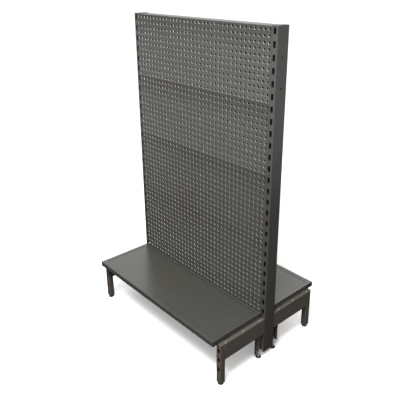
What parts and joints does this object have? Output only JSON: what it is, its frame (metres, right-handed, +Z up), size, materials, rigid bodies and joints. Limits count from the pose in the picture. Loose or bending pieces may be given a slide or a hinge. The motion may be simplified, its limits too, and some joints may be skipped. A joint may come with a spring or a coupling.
{
  "type": "gondola shelving unit",
  "caption": "Double-sided gondola shelving bay with slotted uprights, perforated steel back panels, base shelves front and rear, and base brackets on levelling feet.",
  "frame": {"origin": "on the floor, under the centre of the bay", "axes": "+Z up, +X along the bay, -Y toward the front; the rear is the front mirrored in Y"},
  "size_m": [0.93, 0.6864, 1.52],
  "materials": {
    "panel_paint": "pewter grey textured powder coat, low sheen",
    "upright_paint": "pewter grey textured powder coat, low sheen",
    "bracket_paint": "dark pewter grey textured powder coat, low sheen",
    "shelf_paint": "pewter grey powder coat, satin",
    "cap_plastic": "black moulded plastic",
    "plug_plastic": "dark grey moulded plastic",
    "pad_plastic": "black moulded plastic",
    "zinc_plate": "bright zinc plating"
  },
  "bodies": {
    "frame": {"upright_right": "upright_paint", "upright_left": "upright_paint", "upright_caps": "cap_plastic", "top_cover": "panel_paint", "tie_bar_top": "upright_paint", "tie_bar_upper": "upright_paint", "tie_bar_lower": "upright_paint", "tie_bar_bottom": "upright_paint", "tie_screws": "zinc_plate", "panel_front_1": "panel_paint", "panel_front_2": "panel_paint", "panel_front_3": "panel_paint", "panel_front_4": "panel_paint", "panel_front_low": "panel_paint", "panel_rear_1": "panel_paint", "panel_rear_2": "panel_paint", "panel_rear_3": "panel_paint", "panel_rear_4": "panel_paint", "panel_rear_low": "panel_paint", "post_front_right": "bracket_paint", "post_front_left": "bracket_paint", "post_rear_right": "bracket_paint", "post_rear_left": "bracket_paint", "arm_front_right": "bracket_paint", "arm_front_left": "bracket_paint", "arm_rear_right": "bracket_paint", "arm_rear_left": "bracket_paint", "inner_post_front_right": "bracket_paint", "inner_post_front_left": "bracket_paint", "inner_post_rear_right": "bracket_paint", "inner_post_rear_left": "bracket_paint", "bracket_hooks": "bracket_paint", "arm_studs": "zinc_plate", "post_plugs": "plug_plastic", "foot_nuts": "zinc_plate"},
    "base_shelf_front": {"shelf_front": "shelf_paint", "shelf_front_stiffeners": "shelf_paint", "shelf_front_tabs": "shelf_paint", "shelf_front_rivets": "shelf_paint"},
    "base_shelf_rear": {"shelf_rear": "shelf_paint", "shelf_rear_stiffeners": "shelf_paint", "shelf_rear_tabs": "shelf_paint", "shelf_rear_rivets": "shelf_paint"},
    "foot_front_right": {"pad_front_right": "pad_plastic"},
    "screw_front_right": {"stud_front_right": "zinc_plate"},
    "foot_front_left": {"pad_front_left": "pad_plastic"},
    "screw_front_left": {"stud_front_left": "zinc_plate"},
    "foot_rear_right": {"pad_rear_right": "pad_plastic"},
    "screw_rear_right": {"stud_rear_right": "zinc_plate"},
    "foot_rear_left": {"pad_rear_left": "pad_plastic"},
    "screw_rear_left": {"stud_rear_left": "zinc_plate"},
    "foot_inner_front_right": {"pad_inner_front_right": "pad_plastic"},
    "screw_inner_front_right": {"stud_inner_front_right": "zinc_plate"},
    "foot_inner_front_left": {"pad_inner_front_left": "pad_plastic"},
    "screw_inner_front_left": {"stud_inner_front_left": "zinc_plate"},
    "foot_inner_rear_right": {"pad_inner_rear_right": "pad_plastic"},
    "screw_inner_rear_right": {"stud_inner_rear_right": "zinc_plate"},
    "foot_inner_rear_left": {"pad_inner_rear_left": "pad_plastic"},
    "screw_inner_rear_left": {"stud_inner_rear_left": "zinc_plate"}
  },
  "joints": [
    {"name": "shelf_front_lift", "type": "slide", "parent": "frame", "child": "base_shelf_front", "axis": [0, 0, 1], "range_m": [0, 0.06]},
    {"name": "shelf_rear_lift", "type": "slide", "parent": "frame", "child": "base_shelf_rear", "axis": [0, 0, 1], "range_m": [0, 0.06]},
    {"name": "foot_front_right_height", "type": "slide", "parent": "frame", "child": "foot_front_right", "axis": [0, 0, -1], "range_m": [-0.002, 0.025]},
    {"name": "screw_front_right_turn", "type": "hinge", "parent": "foot_front_right", "child": "screw_front_right", "pos_m": [0.45, -0.2985, 0.03], "axis": [0, 0, 1], "range_deg": [-500, 6020]},
    {"name": "foot_front_left_height", "type": "slide", "parent": "frame", "child": "foot_front_left", "axis": [0, 0, -1], "range_m": [-0.002, 0.025]},
    {"name": "screw_front_left_turn", "type": "hinge", "parent": "foot_front_left", "child": "screw_front_left", "pos_m": [-0.45, -0.2985, 0.03], "axis": [0, 0, 1], "range_deg": [-500, 6020]},
    {"name": "foot_rear_right_height", "type": "slide", "parent": "frame", "child": "foot_rear_right", "axis": [0, 0, -1], "range_m": [-0.002, 0.025]},
    {"name": "screw_rear_right_turn", "type": "hinge", "parent": "foot_rear_right", "child": "screw_rear_right", "pos_m": [0.45, 0.2985, 0.03], "axis": [0, 0, 1], "range_deg": [-500, 6020]},
    {"name": "foot_rear_left_height", "type": "slide", "parent": "frame", "child": "foot_rear_left", "axis": [0, 0, -1], "range_m": [-0.002, 0.025]},
    {"name": "screw_rear_left_turn", "type": "hinge", "parent": "foot_rear_left", "child": "screw_rear_left", "pos_m": [-0.45, 0.2985, 0.03], "axis": [0, 0, 1], "range_deg": [-500, 6020]},
    {"name": "foot_inner_front_right_height", "type": "slide", "parent": "frame", "child": "foot_inner_front_right", "axis": [0, 0, -1], "range_m": [-0.002, 0.025]},
    {"name": "screw_inner_front_right_turn", "type": "hinge", "parent": "foot_inner_front_right", "child": "screw_inner_front_right", "pos_m": [0.449, -0.051, 0.03], "axis": [0, 0, 1], "range_deg": [-500, 6020]},
    {"name": "foot_inner_front_left_height", "type": "slide", "parent": "frame", "child": "foot_inner_front_left", "axis": [0, 0, -1], "range_m": [-0.002, 0.025]},
    {"name": "screw_inner_front_left_turn", "type": "hinge", "parent": "foot_inner_front_left", "child": "screw_inner_front_left", "pos_m": [-0.449, -0.051, 0.03], "axis": [0, 0, 1], "range_deg": [-500, 6020]},
    {"name": "foot_inner_rear_right_height", "type": "slide", "parent": "frame", "child": "foot_inner_rear_right", "axis": [0, 0, -1], "range_m": [-0.002, 0.025]},
    {"name": "screw_inner_rear_right_turn", "type": "hinge", "parent": "foot_inner_rear_right", "child": "screw_inner_rear_right", "pos_m": [0.449, 0.051, 0.03], "axis": [0, 0, 1], "range_deg": [-500, 6020]},
    {"name": "foot_inner_rear_left_height", "type": "slide", "parent": "frame", "child": "foot_inner_rear_left", "axis": [0, 0, -1], "range_m": [-0.002, 0.025]},
    {"name": "screw_inner_rear_left_turn", "type": "hinge", "parent": "foot_inner_rear_left", "child": "screw_inner_rear_left", "pos_m": [-0.449, 0.051, 0.03], "axis": [0, 0, 1], "range_deg": [-500, 6020]}
  ],
  "couplings": [
    {"joint": "screw_front_right_turn", "follows": "foot_front_right_height", "rad_per_m": 4188.8},
    {"joint": "screw_front_left_turn", "follows": "foot_front_left_height", "rad_per_m": 4188.8},
    {"joint": "screw_rear_right_turn", "follows": "foot_rear_right_height", "rad_per_m": 4188.8},
    {"joint": "screw_rear_left_turn", "follows": "foot_rear_left_height", "rad_per_m": 4188.8},
    {"joint": "screw_inner_front_right_turn", "follows": "foot_inner_front_right_height", "rad_per_m": 4188.8},
    {"joint": "screw_inner_front_left_turn", "follows": "foot_inner_front_left_height", "rad_per_m": 4188.8},
    {"joint": "screw_inner_rear_right_turn", "follows": "foot_inner_rear_right_height", "rad_per_m": 4188.8},
    {"joint": "screw_inner_rear_left_turn", "follows": "foot_inner_rear_left_height", "rad_per_m": 4188.8}
  ]
}
